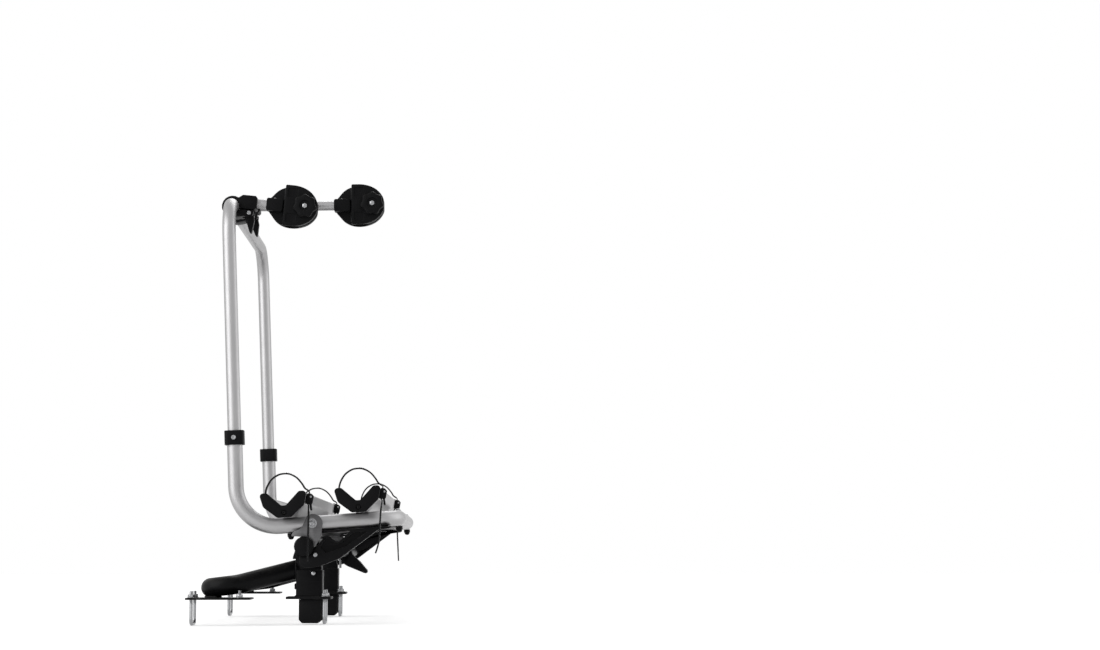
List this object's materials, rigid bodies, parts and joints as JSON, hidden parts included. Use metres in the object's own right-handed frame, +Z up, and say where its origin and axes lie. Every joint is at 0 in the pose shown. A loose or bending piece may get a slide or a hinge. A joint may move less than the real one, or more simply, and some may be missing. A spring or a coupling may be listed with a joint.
{
  "type": "caravan bike carrier",
  "caption": "Drawbar bicycle carrier with a tilting frame, wheel rails with straps, a raised tube hoop and swivelling frame claws with knobs.",
  "frame": {"origin": "centre of the box around the whole part, at its base, under the clamp feet", "axes": "+Z up, +Y along the wheel rails, +X from the raised hoop towards the front bar of the lower frame"},
  "size_m": [0.4514, 1.1406, 0.9499],
  "materials": {
    "black_powder_coat": "satin powder coat",
    "anodised_aluminium": "satin anodised",
    "silver_plate": "brushed sheet",
    "zinc_plate": "bright zinc plated",
    "black_plastic": "fine moulded grain",
    "strap_plastic": "toothed flexible plastic"
  },
  "bodies": {
    "base": {"base_tube": "black_powder_coat", "post_left": "black_powder_coat", "post_right": "black_powder_coat", "clamp_plate_left": "black_powder_coat", "clamp_plate_right": "black_powder_coat", "clamp_foot_left": "black_powder_coat", "clamp_foot_right": "black_powder_coat", "u_bolt_rear_left": "zinc_plate", "u_bolt_rear_right": "zinc_plate", "u_bolt_front_left": "zinc_plate", "u_bolt_front_right": "zinc_plate"},
    "tilt_frame": {"tilt_tube": "black_powder_coat", "tube_cap_left": "black_plastic", "tube_cap_right": "black_plastic", "side_arm_left": "black_powder_coat", "side_arm_right": "black_powder_coat", "arm_cross_tube": "black_powder_coat", "pivot_plate_left": "silver_plate", "pivot_plate_right": "silver_plate", "lower_frame": "anodised_aluminium", "collar_left": "black_plastic", "collar_right": "black_plastic", "rail_inner": "anodised_aluminium", "rail_outer": "anodised_aluminium", "rail_inner_cap_left": "black_plastic", "rail_inner_cap_right": "black_plastic", "rail_outer_cap_left": "black_plastic", "rail_outer_cap_right": "black_plastic", "rail_inner_nut_left": "black_plastic", "rail_inner_nut_right": "black_plastic", "front_nut_left": "black_plastic", "front_nut_right": "black_plastic", "strap_inner_left": "strap_plastic", "strap_inner_right": "strap_plastic", "strap_outer_left": "strap_plastic", "strap_outer_right": "strap_plastic", "buckle_inner_left": "black_plastic", "buckle_inner_right": "black_plastic", "buckle_outer_left": "black_plastic", "buckle_outer_right": "black_plastic"},
    "pedal": {"pedal_lever": "black_plastic"},
    "hoop": {"upper_hoop": "anodised_aluminium"},
    "holder_near": {"hoop_clamp_near": "black_plastic", "arm_tube_near": "anodised_aluminium", "frame_claw_near": "black_plastic"},
    "holder_far": {"hoop_clamp_far": "black_plastic", "arm_tube_far": "anodised_aluminium", "frame_claw_far": "black_plastic"},
    "cam_lever_near": {"clamp_lever_near": "black_plastic"},
    "cam_lever_far": {"clamp_lever_far": "black_plastic"},
    "jaw_near": {"frame_jaw_near": "black_plastic"},
    "jaw_far": {"frame_jaw_far": "black_plastic"},
    "knob_near": {"jaw_knob_near": "black_plastic"},
    "knob_far": {"jaw_knob_far": "black_plastic"},
    "strap_lever_inner_left": {"buckle_lever_inner_left": "black_plastic"},
    "strap_lever_inner_right": {"buckle_lever_inner_right": "black_plastic"},
    "strap_lever_outer_left": {"buckle_lever_outer_left": "black_plastic"},
    "strap_lever_outer_right": {"buckle_lever_outer_right": "black_plastic"}
  },
  "joints": [
    {"name": "tilt", "type": "hinge", "parent": "base", "child": "tilt_frame", "pos_m": [0.01829, 0, 0.16297], "axis": [0, 1, 0], "range_deg": [0, 35]},
    {"name": "pedal_press", "type": "hinge", "parent": "tilt_frame", "child": "pedal", "pos_m": [0.08029, 0, 0.15227], "axis": [0, 1, 0], "range_deg": [0, 20], "stiffness_Nm_per_rad": 1, "springref_deg": -11.46},
    {"name": "hoop_height", "type": "slide", "parent": "tilt_frame", "child": "hoop", "axis": [-0.041, 0, 0.9992], "range_m": [0, 0.05]},
    {"name": "holder_swing_near", "type": "hinge", "parent": "hoop", "child": "holder_near", "pos_m": [-0.14932, -0.3, 0.88727], "axis": [0, 1, 0], "range_deg": [-60, 85]},
    {"name": "holder_swing_far", "type": "hinge", "parent": "hoop", "child": "holder_far", "pos_m": [-0.14932, -0.22, 0.88727], "axis": [0, 1, 0], "range_deg": [-60, 85]},
    {"name": "cam_lever_turn_near", "type": "hinge", "parent": "holder_near", "child": "cam_lever_near", "pos_m": [-0.11442, -0.3, 0.87355], "axis": [0, -1, 0], "range_deg": [0, 70]},
    {"name": "cam_lever_turn_far", "type": "hinge", "parent": "holder_far", "child": "cam_lever_far", "pos_m": [-0.11314, -0.22, 0.8774], "axis": [0, -1, 0], "range_deg": [0, 70]},
    {"name": "jaw_slide_near", "type": "slide", "parent": "holder_near", "child": "jaw_near", "axis": [0, -1, 0], "range_m": [0, 0.014]},
    {"name": "jaw_slide_far", "type": "slide", "parent": "holder_far", "child": "jaw_far", "axis": [0, -1, 0], "range_m": [0, 0.014]},
    {"name": "knob_turn_near", "type": "hinge", "parent": "jaw_near", "child": "knob_near", "pos_m": [0.00531, -0.3, 0.88725], "axis": [0, -1, 0], "range_deg": [0, 1260]},
    {"name": "knob_turn_far", "type": "hinge", "parent": "jaw_far", "child": "knob_far", "pos_m": [0.14539, -0.22, 0.90642], "axis": [0, -1, 0], "range_deg": [0, 1260]},
    {"name": "strap_lever_turn_inner_left", "type": "hinge", "parent": "tilt_frame", "child": "strap_lever_inner_left", "pos_m": [0.03691, 0.505, 0.26285], "axis": [0, -1, 0], "range_deg": [0, 70]},
    {"name": "strap_lever_turn_inner_right", "type": "hinge", "parent": "tilt_frame", "child": "strap_lever_inner_right", "pos_m": [0.03691, -0.505, 0.26285], "axis": [0, -1, 0], "range_deg": [0, 70]},
    {"name": "strap_lever_turn_outer_left", "type": "hinge", "parent": "tilt_frame", "child": "strap_lever_outer_left", "pos_m": [0.18591, 0.505, 0.27379], "axis": [0, -1, 0], "range_deg": [0, 70]},
    {"name": "strap_lever_turn_outer_right", "type": "hinge", "parent": "tilt_frame", "child": "strap_lever_outer_right", "pos_m": [0.18591, -0.505, 0.27379], "axis": [0, -1, 0], "range_deg": [0, 70]}
  ],
  "couplings": [
    {"joint": "knob_turn_near", "follows": "jaw_slide_near", "rad_per_m": 1570.8},
    {"joint": "knob_turn_far", "follows": "jaw_slide_far", "rad_per_m": 1570.8}
  ]
}
